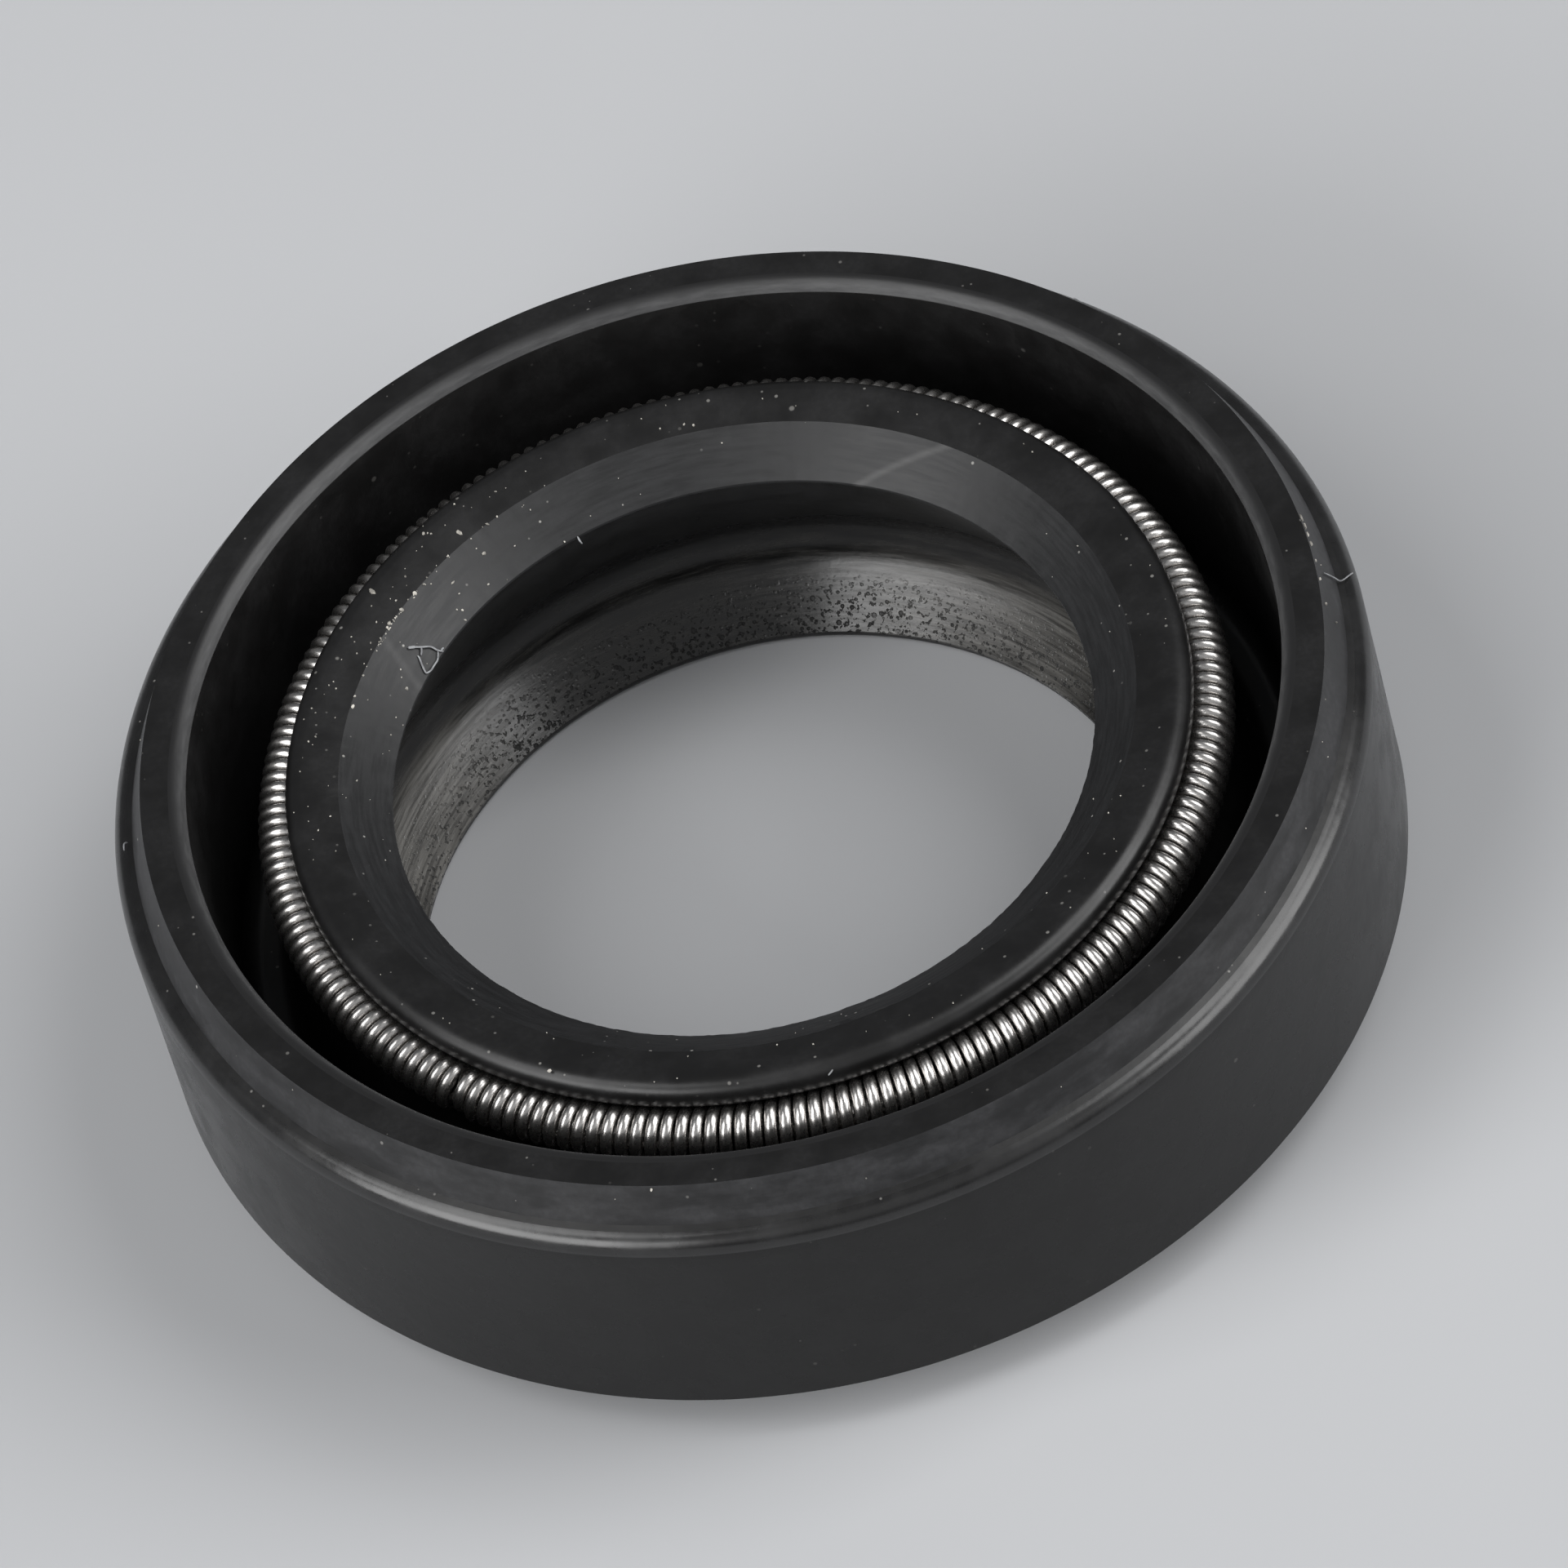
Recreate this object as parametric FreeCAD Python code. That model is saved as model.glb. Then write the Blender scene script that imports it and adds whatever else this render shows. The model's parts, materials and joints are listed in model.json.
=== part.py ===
import FreeCAD
import Part
import math
import os

# A radial shaft seal of the rubber-covered kind: a steel case moulded into rubber, a main
# lip that a garter spring draws onto the shaft, and a plain dust lip below it.
#
# All sizes are in millimetres. The origin is the centre of the heel, the flat face on the
# air side. +Z runs along the shaft, from the air side to the oil side with its open groove.

# The standard size: the shaft, the bore of the housing and the width of the seal.
shaft_diameter = 15.0
housing_diameter = 25.0
seal_width = 7.0

# How much smaller than the shaft each free lip is, on the diameter.
lip_interference = 1.05
dust_lip_interference = 0.10

# The outside: a chamfer at the heel, and at the toe a shoulder and a tapered lead-in.
heel_chamfer = 1.20
shoulder_below_rim = 0.80
shoulder_radius = 0.30
lead_in_step = 0.43
lead_in_taper = 0.335
rim_inner_radius = 0.25

# The steel case, and the rubber that covers it on each side.
case_thickness = 0.60
case_bend_radius = 0.30
od_cover = 0.80
toe_cover = 0.50
heel_cover = 0.60
groove_cover = 0.25
groove_floor_cover = 0.55
flange_to_dust_lip = 1.45

# The dust lip: its rounded tip, the land above that and the funnel up into the bore.
dust_tip_radius = 0.20
dust_land = 0.25
dust_flank_angle = 39.0
bore_fillet_radius = 1.20

# The main lip: its contact edge, the trimmed oil flank and the longer air flank.
lip_below_rim = 1.49
lip_land = 0.06
oil_flank_height = 0.71
oil_flank_angle = 53.0
air_flank_angle = 28.0

# The garter spring: where the middle of its coil lies, the coil, its wire and its turns.
spring_outside_lip = 2.195
spring_below_lip = 0.215
coil_diameter = 1.10
wire_diameter = 0.25
coil_turns = 203
coil_sides = 8

# The rounded seat that holds the spring, and how far round the coil it goes up and down
# from its deepest line, in degrees.
spring_seat_gap = 0.01
seat_wrap_up = 56.0
seat_wrap_down = 54.0

# The ridge above the seat: how far its outer side lies inside the middle of the coil, how
# far its underside is above the coil, its height, and its roundings on top and underneath.
ridge_inset = 0.15
ridge_above_coil = 0.03
ridge_height = 0.59
ridge_radius = 0.33
ridge_underside_radius = 0.25

# The thin wall that carries the lip, and the groove between it and the outer ring.
flex_thickness = 0.95
waist_below_spring = 2.00
waist_radius = 2.00
groove_floor_width = 0.90
groove_draft = 0.10
groove_fillet_radius = 0.40

# Places worked out from the sizes above.
outer_radius = housing_diameter / 2
lip_radius = (shaft_diameter - lip_interference) / 2
dust_lip_radius = (shaft_diameter - dust_lip_interference) / 2
shoulder_z = seal_width - shoulder_below_rim
lip_z = seal_width - lip_below_rim
lip_bottom_z = lip_z - lip_land / 2
lip_top_z = lip_z + lip_land / 2
spring_radius = lip_radius + spring_outside_lip
spring_z = lip_z - spring_below_lip
coil_radius = coil_diameter / 2
ridge_side_radius = spring_radius - ridge_inset
ridge_bottom_z = spring_z + coil_radius + ridge_above_coil
ridge_top_z = ridge_bottom_z + ridge_height
case_outer_radius = outer_radius - od_cover
case_inner_radius = case_outer_radius - case_thickness
case_top_z = seal_width - toe_cover
flange_top_z = heel_cover + case_thickness
flange_radius = dust_lip_radius + flange_to_dust_lip
groove_wall_radius = case_inner_radius - groove_cover
groove_foot_radius = groove_wall_radius - groove_draft
groove_floor_z = flange_top_z + groove_floor_cover


def on_section(radius, height):
    """A point of the section, which lies in the XZ plane."""
    return FreeCAD.Vector(radius, 0, height)


def on_circle(centre, radius, degrees):
    """The point of a circle in the section, at an angle measured from +X towards +Z."""
    angle = math.radians(degrees)
    return on_section(centre.x + radius * math.cos(angle), centre.z + radius * math.sin(angle))


def rounding(before, corner, after, radius):
    """The first, middle and last point of the arc that rounds a corner."""
    to_before = (before - corner).normalize()
    to_after = (after - corner).normalize()
    half_angle = to_before.getAngle(to_after) / 2
    reach = radius / math.tan(half_angle)
    inward = (to_before + to_after).normalize()
    middle = corner + inward * (radius / math.sin(half_angle) - radius)
    return corner + to_before * reach, middle, corner + to_after * reach


def rounded_path(corners):
    """Edges through a list of (point, radius), with each corner rounded to its radius."""
    edges = []
    start = corners[0][0]
    for index in range(1, len(corners)):
        point, radius = corners[index]
        if radius > 0:
            first, middle, last = rounding(corners[index - 1][0], point, corners[index + 1][0], radius)
            edges.append(Part.LineSegment(start, first).toShape())
            edges.append(Part.Arc(first, middle, last).toShape())
            start = last
        else:
            edges.append(Part.LineSegment(start, point).toShape())
            start = point
    return edges


def turned(edges):
    """The solid that a closed section makes when it is turned about the shaft's axis."""
    face = Part.Face(Part.Wire(edges))
    return face.revolve(on_section(0, 0), on_section(0, 1), 360)


def air_flank_radius(height):
    """The radius of the cone below the main lip, at a height."""
    return lip_radius + (lip_bottom_z - height) * math.tan(math.radians(air_flank_angle))


def bore_corner():
    """Where the funnel of the dust lip would meet the air flank of the main lip."""
    dust_slope = math.tan(math.radians(dust_flank_angle))
    air_slope = math.tan(math.radians(air_flank_angle))
    height = dust_land + (air_flank_radius(dust_land) - dust_lip_radius) / (dust_slope + air_slope)
    return on_section(air_flank_radius(height), height)


def make_steel_case():
    """The pressed steel ring of L section that stiffens the seal."""
    outer_bend_radius = case_bend_radius + case_thickness
    flange_edge = on_section(flange_radius, heel_cover)
    corners = [
        (flange_edge, 0),
        (on_section(case_outer_radius, heel_cover), outer_bend_radius),
        (on_section(case_outer_radius, case_top_z), 0),
        (on_section(case_inner_radius, case_top_z), 0),
        (on_section(case_inner_radius, flange_top_z), case_bend_radius),
        (on_section(flange_radius, flange_top_z), 0),
        (flange_edge, 0),
    ]
    return turned(rounded_path(corners))


def outer_corners():
    """The section from the groove's wall over the rim and down the outside to the heel."""
    lead_in_foot_radius = outer_radius - lead_in_step
    return [
        (on_section(groove_foot_radius, groove_floor_z), groove_fillet_radius),
        (on_section(groove_wall_radius, seal_width), rim_inner_radius),
        (on_section(lead_in_foot_radius - lead_in_taper, seal_width), 0),
        (on_section(lead_in_foot_radius, shoulder_z), 0),
        (on_section(outer_radius, shoulder_z), shoulder_radius),
        (on_section(outer_radius, heel_chamfer), 0),
        (on_section(outer_radius - heel_chamfer, 0), 0),
    ]


def bore_corners():
    """The section from the heel up through the dust lip and the main lip to its trimmed edge."""
    trim_radius = lip_radius + oil_flank_height * math.tan(math.radians(oil_flank_angle))
    return [
        (on_section(dust_lip_radius, 0), dust_tip_radius),
        (on_section(dust_lip_radius, dust_land), 0),
        (bore_corner(), bore_fillet_radius),
        (on_section(lip_radius, lip_bottom_z), 0),
        (on_section(lip_radius, lip_top_z), 0),
        (on_section(trim_radius, lip_top_z + oil_flank_height), 0),
    ]


def make_rubber_body(steel_case):
    """The moulded rubber: cover, main lip and dust lip in one piece, bonded to the case."""
    coil_centre = on_section(spring_radius, spring_z)
    seat_radius = coil_radius + spring_seat_gap
    seat_top = on_circle(coil_centre, seat_radius, 180 - seat_wrap_up)
    seat_middle = on_circle(coil_centre, seat_radius, 180)
    seat_bottom = on_circle(coil_centre, seat_radius, 180 + seat_wrap_down)
    waist_z = spring_z - waist_below_spring
    waist = on_section(air_flank_radius(waist_z) + flex_thickness, waist_z)
    groove_floor_inside = on_section(groove_foot_radius - groove_floor_width, groove_floor_z)

    corners = [(seat_bottom, 0), (waist, waist_radius), (groove_floor_inside, groove_fillet_radius)]
    corners += outer_corners()
    corners += bore_corners()
    corners += [
        (on_section(ridge_side_radius, ridge_top_z), ridge_radius),
        (on_section(ridge_side_radius, ridge_bottom_z), ridge_underside_radius),
        (seat_top, 0),
    ]
    edges = rounded_path(corners)
    edges.append(Part.Arc(seat_top, seat_middle, seat_bottom).toShape())
    return turned(edges).cut(steel_case)


def coil_outlines():
    """The coil's many-sided outlines round the ring: at a turn's crest, then in the dip after it."""
    half_turn = math.pi / coil_turns
    up = FreeCAD.Vector(0, 0, 1)
    to_dip = spring_radius * math.tan(half_turn)
    dip_depth = wire_diameter / 2
    outlines = []
    for turn in range(coil_turns):
        angle = 2 * half_turn * turn
        outward = FreeCAD.Vector(math.cos(angle), math.sin(angle), 0)
        along = FreeCAD.Vector(-math.sin(angle), math.cos(angle), 0)
        across_dip = FreeCAD.Vector(-math.sin(angle + half_turn), math.cos(angle + half_turn), 0)
        coil_centre = outward * spring_radius + up * spring_z
        slope_tip = coil_centre + along * (to_dip * coil_radius / dip_depth)
        crest = []
        dip = []
        for side in range(coil_sides):
            round_coil = 2 * math.pi * side / coil_sides
            corner = coil_centre + (outward * math.cos(round_coil) + up * math.sin(round_coil)) * coil_radius
            share = across_dip.dot(corner) / across_dip.dot(corner - slope_tip)
            crest.append(corner)
            dip.append(corner + (slope_tip - corner) * share)
        outlines += [crest, dip]
    return outlines


def make_garter_spring():
    """The close-wound coil in a ring: a crest for each turn of wire, and the hollow inside the coil."""
    outlines = coil_outlines()
    faces = []
    for index, outline in enumerate(outlines):
        following = outlines[(index + 1) % len(outlines)]
        for side in range(coil_sides):
            beside = (side + 1) % coil_sides
            corners = [outline[side], outline[beside], following[beside], following[side], outline[side]]
            faces.append(Part.Face(Part.makePolygon(corners)))
    skin = Part.Solid(Part.Shell(faces))
    hollow = Part.makeTorus(spring_radius, coil_radius - wire_diameter, on_section(0, spring_z))
    walls = [skin.Shells[0], hollow.Shells[0].reversed()]
    return Part.Solid(Part.Compound(walls))


def main():
    os.makedirs("parts", exist_ok=True)
    steel_case = make_steel_case()
    pieces = {
        "rubber_body": make_rubber_body(steel_case),
        "steel_case": steel_case,
        "garter_spring": make_garter_spring(),
    }
    for name, shape in pieces.items():
        shape.exportStep("parts/" + name + ".step")
        print(name, "solids", len(shape.Solids), "valid", shape.isValid(), "mm3", round(shape.Volume, 2))


main()
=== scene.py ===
# %% [markdown]
# # A radial shaft seal in Blender
# The seal keeps oil in where a turning shaft leaves a housing. It is black rubber moulded over
# a steel ring, with a fine lip for the shaft and a coiled wire spring that draws the lip tight.
#
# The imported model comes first. It fixes every size and place, and what is made here goes where
# it says.

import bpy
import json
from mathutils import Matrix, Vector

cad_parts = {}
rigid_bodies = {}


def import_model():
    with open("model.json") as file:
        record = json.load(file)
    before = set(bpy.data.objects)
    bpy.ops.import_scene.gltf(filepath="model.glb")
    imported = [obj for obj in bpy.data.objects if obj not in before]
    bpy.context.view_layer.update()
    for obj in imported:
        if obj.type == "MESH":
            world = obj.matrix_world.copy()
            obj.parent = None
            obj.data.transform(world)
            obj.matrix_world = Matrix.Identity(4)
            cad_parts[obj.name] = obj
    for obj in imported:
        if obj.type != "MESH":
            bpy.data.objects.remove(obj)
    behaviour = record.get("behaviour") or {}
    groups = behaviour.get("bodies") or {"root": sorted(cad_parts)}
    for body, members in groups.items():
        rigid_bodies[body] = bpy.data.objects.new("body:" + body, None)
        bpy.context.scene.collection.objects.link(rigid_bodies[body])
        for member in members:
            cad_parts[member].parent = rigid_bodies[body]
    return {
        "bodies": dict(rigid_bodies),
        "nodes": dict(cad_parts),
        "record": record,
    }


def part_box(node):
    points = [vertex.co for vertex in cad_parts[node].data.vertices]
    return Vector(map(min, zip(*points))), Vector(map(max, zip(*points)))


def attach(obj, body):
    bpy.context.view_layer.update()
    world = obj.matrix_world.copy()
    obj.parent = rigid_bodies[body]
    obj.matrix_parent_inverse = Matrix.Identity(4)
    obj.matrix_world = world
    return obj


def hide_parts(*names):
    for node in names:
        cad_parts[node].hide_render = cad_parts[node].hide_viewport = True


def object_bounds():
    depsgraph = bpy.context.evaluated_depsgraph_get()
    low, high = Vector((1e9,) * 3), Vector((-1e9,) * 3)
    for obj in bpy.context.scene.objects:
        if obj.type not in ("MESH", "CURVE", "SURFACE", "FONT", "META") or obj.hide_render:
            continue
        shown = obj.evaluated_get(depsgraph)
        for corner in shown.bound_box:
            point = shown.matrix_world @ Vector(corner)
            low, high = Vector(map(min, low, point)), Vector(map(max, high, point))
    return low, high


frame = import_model()
print("loaded the nodes", sorted(frame["nodes"]))

# %% [markdown]
# Blender may open with a cube, a lamp and a camera of its own. The scene starts empty instead,
# so that nothing stray is lit, seen or exported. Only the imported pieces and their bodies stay.

# %% Clear what Blender opens with
import json
import math
import random

import bpy
from mathutils import Matrix, Vector, noise

kept = set(frame["nodes"].values()) | set(frame["bodies"].values())
for thing in list(bpy.data.objects):
    if thing not in kept:
        bpy.data.objects.remove(thing)
cad_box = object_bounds()
print("the packed box in metres", [tuple(round(x, 5) for x in corner) for corner in cad_box])

# %% [markdown]
# A seal's drawing is in millimetres and Blender works in metres, so one named value turns one
# into the other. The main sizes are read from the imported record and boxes. That way the outline
# below can't drift away from the solids that it dresses.

# %% Read the main sizes
mm = 0.001
mounts = {mount["name"]: mount for mount in frame["record"]["mounts"]}
spring_low, spring_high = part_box("garter_spring")

seal_width = (cad_box[1].z - cad_box[0].z) / mm
outer_radius = mounts["housing_seat"]["dims"]["r_mm"]
lip_radius = mounts["main_lip"]["dims"]["r_mm"]
lip_z = mounts["main_lip"]["pos_m"][2] / mm
coil_radius = (spring_high.z - spring_low.z) / 2 / mm
spring_z = (spring_high.z + spring_low.z) / 2 / mm
spring_radius = spring_high.x / mm - coil_radius
print(f"width {seal_width:.2f}, outside radius {outer_radius:.2f}, lip radius {lip_radius:.3f} mm")
print(f"spring: ring radius {spring_radius:.3f}, coil radius {coil_radius:.3f}, height {spring_z:.3f} mm")

# %% [markdown]
# ## The outline of the rubber
# A seal is a turned shape, so one outline of its section gives the whole of it. On the real
# part the mould is turned on a lathe to that outline. A list of corners, each with its own
# rounding, is the nearest thing to the maker's drawing, and it is easy to read and to correct.
# A Bevel on the finished mesh would round every edge alike, and here the lip has to stay sharp.

# %% Round the corners of an outline
def rounded(before, corner, after, radius, steps=8):
    """Points on the arc that rounds one corner."""
    to_before = (before - corner).normalized()
    to_after = (after - corner).normalized()
    half_angle = to_before.angle(to_after) / 2
    inward = (to_before + to_after).normalized()
    centre = corner + inward * (radius / math.sin(half_angle))
    first = corner + to_before * (radius / math.tan(half_angle)) - centre
    last = corner + to_after * (radius / math.tan(half_angle)) - centre
    turn = first.angle_signed(last)
    return [centre + Matrix.Rotation(-turn * step / steps, 2) @ first for step in range(steps + 1)]


# %% [markdown]
# The corners go round the section once, from the seat of the spring down into the groove, over
# the rim, down the outside, along the heel, and up the bore past both lips. Each one names the
# finish of the stretch that leads to it and of its own rounding. The finishes differ on the
# real part: the mould leaves most of the rubber dull, the lead-in and the bore show the mould's
# turning marks, and the flank above the lip is cut with a knife after moulding. The inner edge
# of the rim is painted paler, a painted highlight.

# %% Give the outer ring its sizes
outer_wall, groove_draft = 1.65, 0.10
groove_floor_z, groove_floor_width = 1.75, 0.90
rim_edge_height, rim_edge_width = 0.24, 0.14
lead_in_step, lead_in_taper = 0.43, 0.335
shoulder_below_rim, shoulder_fall = 0.80, 0.13
ledge_width, ledge_fall = 0.13, 0.045
heel_chamfer = 1.20

groove_wall_radius = outer_radius - outer_wall
groove_foot_radius = groove_wall_radius - groove_draft
lead_in_foot_radius = outer_radius - lead_in_step
shoulder_z = seal_width - shoulder_below_rim
print(f"groove wall at radius {groove_wall_radius:.2f} mm, shoulder {shoulder_z:.2f} mm above the heel")

# %% Give the lips and the seat their sizes
dust_lip_radius, dust_land = 7.45, 0.25
dust_slope = math.tan(math.radians(39.0))
air_slope = math.tan(math.radians(28.0))
lip_half_land = 0.03
trim_height = 0.71
trim_reach = trim_height * math.tan(math.radians(53.0))
flex_thickness, waist_below_spring = 0.95, 2.00
seat_gap = 0.01
seat_start, seat_end = 124, 234
ridge_inset, ridge_above_coil, ridge_height = 0.15, 0.03, 0.59

lip_bottom_z, lip_top_z = lip_z - lip_half_land, lip_z + lip_half_land
trim_radius, trim_z = lip_radius + trim_reach, lip_top_z + trim_height
waist_z = spring_z - waist_below_spring
seat_radius = coil_radius + seat_gap
ridge_side_radius = spring_radius - ridge_inset
ridge_bottom_z = spring_z + coil_radius + ridge_above_coil
ridge_top_z = ridge_bottom_z + ridge_height


def air_flank_radius(height):
    """The radius of the cone below the main lip, at a height."""
    return lip_radius + (lip_bottom_z - height) * air_slope


def on_seat(degrees):
    """A point of the spring's seat, the angle measured from outwards towards up."""
    angle = math.radians(degrees)
    spoke = Vector((math.cos(angle), math.sin(angle)))
    return Vector((spring_radius, spring_z)) + spoke * seat_radius


funnel_room = air_flank_radius(dust_land) - dust_lip_radius
bore_corner_z = dust_land + funnel_room / (dust_slope + air_slope)
seat_top, seat_bottom = on_seat(seat_start), on_seat(seat_end)
print(f"the bore is widest near {bore_corner_z:.2f} mm above the heel")

# %% Draw the section
section_corners = [
    (seat_bottom.x, seat_bottom.y, 0, "moulded"),
    (air_flank_radius(waist_z) + flex_thickness, waist_z, 2.00, "moulded"),
    (groove_foot_radius - groove_floor_width, groove_floor_z, 0.40, "moulded"),
    (groove_foot_radius, groove_floor_z, 0.40, "moulded"),
    (groove_wall_radius, seal_width - rim_edge_height, 0.05, "moulded"),
    # the rim's inner edge carries a painted highlight in its finish
    (groove_wall_radius + rim_edge_width, seal_width, 0.32, "worn_edge"),
    (lead_in_foot_radius - lead_in_taper, seal_width, 0, "moulded"),
    (lead_in_foot_radius, shoulder_z, 0, "lead_in"),
    (lead_in_foot_radius + ledge_width, shoulder_z - ledge_fall, 0, "moulded"),
    (outer_radius, shoulder_z - shoulder_fall, 0.42, "shoulder"),
    (outer_radius, heel_chamfer, 0, "cover"),
    (outer_radius - heel_chamfer, 0, 0, "cover"),
    (dust_lip_radius, 0, 0.20, "moulded"),
    (dust_lip_radius, dust_land, 0, "bore"),
    (air_flank_radius(bore_corner_z), bore_corner_z, 1.20, "bore"),
    (lip_radius, lip_bottom_z, 0, "air_flank"),
    (lip_radius, lip_top_z, 0, "trimmed"),
    (trim_radius, trim_z, 0, "trimmed"),
    (ridge_side_radius, ridge_top_z, 0.33, "moulded"),
    (ridge_side_radius, ridge_bottom_z, 0.25, "moulded"),
    (seat_top.x, seat_top.y, 0, "moulded"),
]
longest_step = 0.30
seat_steps = 16


def stretch(start, end):
    """Points from start to end, without start, no further apart than the longest step."""
    pieces = max(1, math.ceil((end - start).length / longest_step))
    return [start.lerp(end, piece / pieces) for piece in range(1, pieces + 1)]


def section_points():
    """The outline as points, with the finish of the stretch that ends at each one."""
    places = [Vector(corner[:2]) for corner in section_corners]
    points, finishes = [places[0]], ["moulded"]
    for index in range(1, len(places)):
        radius, finish = section_corners[index][2], section_corners[index][3]
        arc = [places[index]]
        if radius > 0:
            arc = rounded(places[index - 1], places[index], places[index + 1], radius)
        new_points = stretch(points[-1], arc[0]) + arc[1:]
        points += new_points
        finishes += [finish] * len(new_points)
    for step in range(1, seat_steps):
        points.append(on_seat(seat_start + (seat_end - seat_start) * step / seat_steps))
        finishes.append("moulded")
    return points, finishes


outline, outline_finishes = section_points()
print(len(outline), "points round the section")

# %% [markdown]
# ## Turning the rubber
# Blender's Screw modifier could turn the outline, but then every ring would be perfect. Real
# moulded rubber isn't: it shrinks a little unevenly, and the knife that trims the lip leaves an
# edge with tiny steps. So the rings are made in code, and each point is pushed inwards by a few
# thousandths of a millimetre of smooth noise, and the two trimmed edges by a little more.

# %% Make the small unevenness
mould_waviness = 0.012
knife_waviness = 0.014
broad_waves, fine_waves, fine_share = 0.45, 2.2, 0.4
knife_waves = 7.0


def mould_dip(place):
    """How far the mould's shrinkage sets a place back: from nothing to the whole waviness."""
    waves = noise.noise(place * broad_waves) + fine_share * noise.noise(place * fine_waves)
    return mould_waviness * (waves + 1 + fine_share) / (2 * (1 + fine_share))


def on_trimmed_edge(point):
    """Whether a point of the outline lies on one of the two edges that the knife leaves."""
    nearest = min(abs(point.y - lip_top_z), abs(point.y - trim_z))
    return nearest < 1e-6 and point.x < trim_radius + 0.01


print("points on the knife's edges:", sum(on_trimmed_edge(point) for point in outline))

# %% Turn the outline into rubber
steps_round = 480


def section_normals(points):
    """For each point of a closed outline, the direction that points out of the rubber."""
    normals = []
    for index, point in enumerate(points):
        along = points[(index + 1) % len(points)] - points[index - 1]
        normals.append(Vector((along.y, -along.x)).normalized())
    area = sum(p.cross(points[(i + 1) % len(points)]) for i, p in enumerate(points)) / 2
    return normals if area > 0 else [-normal for normal in normals]


def turn_outline(points):
    """Vertices and faces of the outline turned once round, and the outline place of each face."""
    normals = section_normals(points)
    vertices = []
    for step in range(steps_round):
        angle = 2 * math.pi * step / steps_round
        outward = Vector((math.cos(angle), math.sin(angle)))
        for point, normal in zip(points, normals):
            place = Vector((outward.x * point.x, outward.y * point.x, point.y))
            dip = mould_dip(place)
            if on_trimmed_edge(point):
                dip += knife_waviness * (noise.noise(place * knife_waves) + 0.5)
            ring = point - normal * dip
            vertices.append((ring.x * outward.x * mm, ring.x * outward.y * mm, ring.y * mm))
    count = len(points)
    faces, places = [], []
    for step in range(steps_round):
        here, there = step * count, (step + 1) % steps_round * count
        for index in range(count):
            following = (index + 1) % count
            faces.append((here + index, there + index, there + following, here + following))
            places.append(following)
    return vertices, faces, places


def new_piece(name, vertices, faces, sharp_from=20.0):
    """A mesh object with smooth faces that breaks at edges sharper than so many degrees."""
    mesh = bpy.data.meshes.new(name)
    mesh.from_pydata(vertices, [], faces)
    mesh.validate()
    mesh.polygons.foreach_set("use_smooth", [True] * len(mesh.polygons))
    mesh.set_sharp_from_angle(angle=math.radians(sharp_from))
    piece = bpy.data.objects.new(name, mesh)
    bpy.context.scene.collection.objects.link(piece)
    return piece


rubber_vertices, rubber_faces, rubber_places = turn_outline(outline)
rubber = new_piece("rubber", rubber_vertices, rubber_faces)
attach(rubber, "root")
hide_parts("rubber_body")
print("rubber:", len(rubber.data.vertices), "vertices,", len(rubber.data.polygons), "faces")

# %% [markdown]
# ## Winding the spring
# The garter spring is one wire, wound close on a thin arbor and bent into a ring, and one end
# is screwed into the other. A Curve with a round bevel could follow the helix, and a tube made
# in code does the same with fewer faces and with its ends under control. Both ends dive into
# the coil at the joint, and the pitch wanders slightly, as wound wire does.

# %% Wind the wire
turns = 203
wire_radius = 0.125
steps_per_turn = 24
wire_sides = 12
joint_azimuth = math.radians(221.0)
joint_gap = 0.30
pitch_wander, wander_rate = 0.012, 0.37
dive_turns, dive_depth = 0.45, 0.62
tiny_turn = 0.002


def wire_centre(turn):
    """The middle of the wire after so many turns, and the middle of the coil beside it."""
    gap_angle = 2 * math.pi / turns * joint_gap
    wander = pitch_wander * noise.noise(Vector((turn * wander_rate, 3.1, 0.0)))
    share = (turn + wander) / turns
    angle = joint_azimuth + gap_angle / 2 + (2 * math.pi - gap_angle) * share
    winding = 2 * math.pi * turn - math.pi / 2
    from_end = min(turn, turns - turn) / dive_turns
    dive = 1 - dive_depth * (1 - min(1.0, from_end)) ** 2
    reach = (coil_radius - wire_radius) * dive
    outward = Vector((math.cos(angle), math.sin(angle), 0))
    coil_middle = outward * spring_radius + Vector((0, 0, spring_z))
    spoke = outward * math.cos(winding) + Vector((0, 0, math.sin(winding)))
    return coil_middle + spoke * reach, coil_middle


def wind_wire():
    """Vertices and faces of the round wire, with a flat cap on each end."""
    rings = turns * steps_per_turn
    vertices = []
    for ring in range(rings + 1):
        turn = ring / steps_per_turn
        centre, coil_middle = wire_centre(turn)
        along = (wire_centre(turn + tiny_turn)[0] - wire_centre(turn - tiny_turn)[0]).normalized()
        spoke = centre - coil_middle
        spoke = (spoke - along * spoke.dot(along)).normalized()
        across = along.cross(spoke)
        for side in range(wire_sides):
            angle = 2 * math.pi * side / wire_sides
            point = centre + (spoke * math.cos(angle) + across * math.sin(angle)) * wire_radius
            vertices.append(tuple(point * mm))
    faces = []
    for ring in range(rings):
        for side in range(wire_sides):
            here = ring * wire_sides + side
            beside = ring * wire_sides + (side + 1) % wire_sides
            faces.append((here, beside, beside + wire_sides, here + wire_sides))
    faces.append(tuple(reversed(range(wire_sides))))
    faces.append(tuple(range(rings * wire_sides, (rings + 1) * wire_sides)))
    return vertices, faces


spring = new_piece("garter_wire", *wind_wire(), sharp_from=60.0)
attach(spring, "root")
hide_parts("garter_spring")
print("wire:", len(spring.data.vertices), "vertices,", turns, "turns")

# %% [markdown]
# ## Tools for the finishes
# A finish is a material made of nodes. Black rubber is the hardest kind to make look real,
# because nearly all that shows is gloss: the colour hardly matters, and small changes in
# roughness do. Each finish below is built from the same few steps, so they are named once.

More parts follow.
